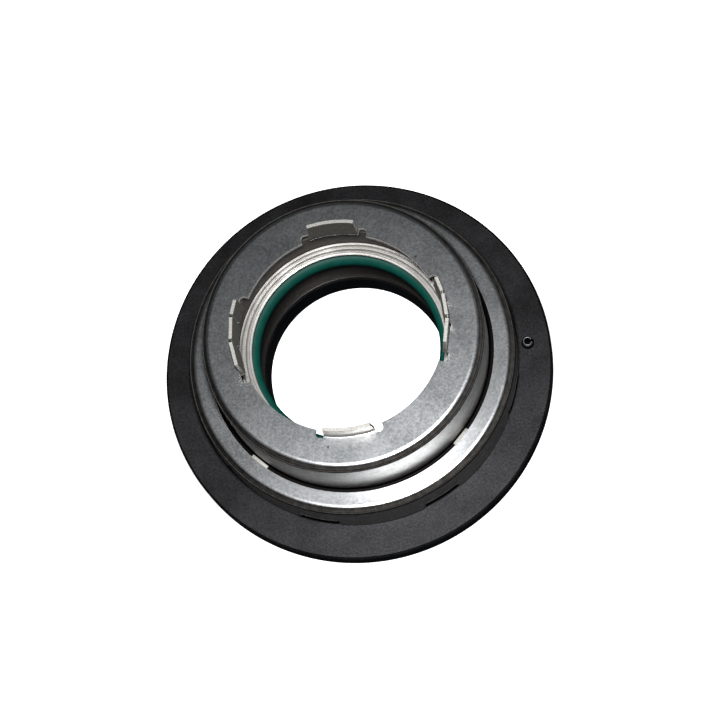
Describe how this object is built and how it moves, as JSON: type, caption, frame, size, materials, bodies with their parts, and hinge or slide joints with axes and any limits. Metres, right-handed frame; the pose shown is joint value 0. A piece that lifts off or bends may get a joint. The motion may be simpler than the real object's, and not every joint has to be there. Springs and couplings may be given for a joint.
{
  "type": "mechanical shaft seal",
  "caption": "Rotary shaft seal: black seat plate with a drawn steel spin head, spring-loaded drive cup with bent-up tabs, carbon face ring and green shaft O-ring.",
  "frame": {"origin": "centre of the seat plate's back face", "axes": "+Z along the shaft from the seat plate towards the drive cup, +X through the seat pin's side"},
  "size_m": [0.088, 0.088, 0.039],
  "materials": {
    "seat": "black oxidised, fine turned, lapped face bare",
    "pin": "black spring steel",
    "carbon": "resin-bonded carbon graphite, machined",
    "o_ring": "green moulded rubber, satin",
    "thrust": "turned steel, fine concentric marks",
    "sleeve": "rolled steel strip, dull",
    "spring": "drawn spring wire",
    "shell": "drawn zinc-plated steel, satin",
    "cup": "drawn zinc-plated steel, satin with fine grain"
  },
  "bodies": {
    "seat": {"seat_plate": "seat", "seat_pin": "pin"},
    "head": {"carbon_ring": "carbon", "shaft_o_ring": "o_ring", "thrust_ring": "thrust", "spring_sleeve": "sleeve", "spring_01": "spring", "spring_02": "spring", "spring_03": "spring", "spring_04": "spring", "spring_05": "spring", "spring_06": "spring", "spring_07": "spring", "spring_08": "spring", "spring_09": "spring", "spring_10": "spring", "spring_11": "spring", "spring_12": "spring", "outer_shell": "shell"},
    "cup": {"drive_cup": "cup"}
  },
  "joints": [
    {"name": "head_spin", "type": "hinge", "parent": "seat", "child": "head", "pos_m": [0, 0, 0.0075], "axis": [0, 0, 1], "continuous": true},
    {"name": "cup_slide", "type": "slide", "parent": "head", "child": "cup", "axis": [0, 0, 1], "range_m": [-0.003, 0], "stiffness_N_per_m": 6000, "springref_m": 0.006, "deforming": ["spring_01", "spring_02", "spring_03", "spring_04", "spring_05", "spring_06", "spring_07", "spring_08", "spring_09", "spring_10", "spring_11", "spring_12"]}
  ]
}
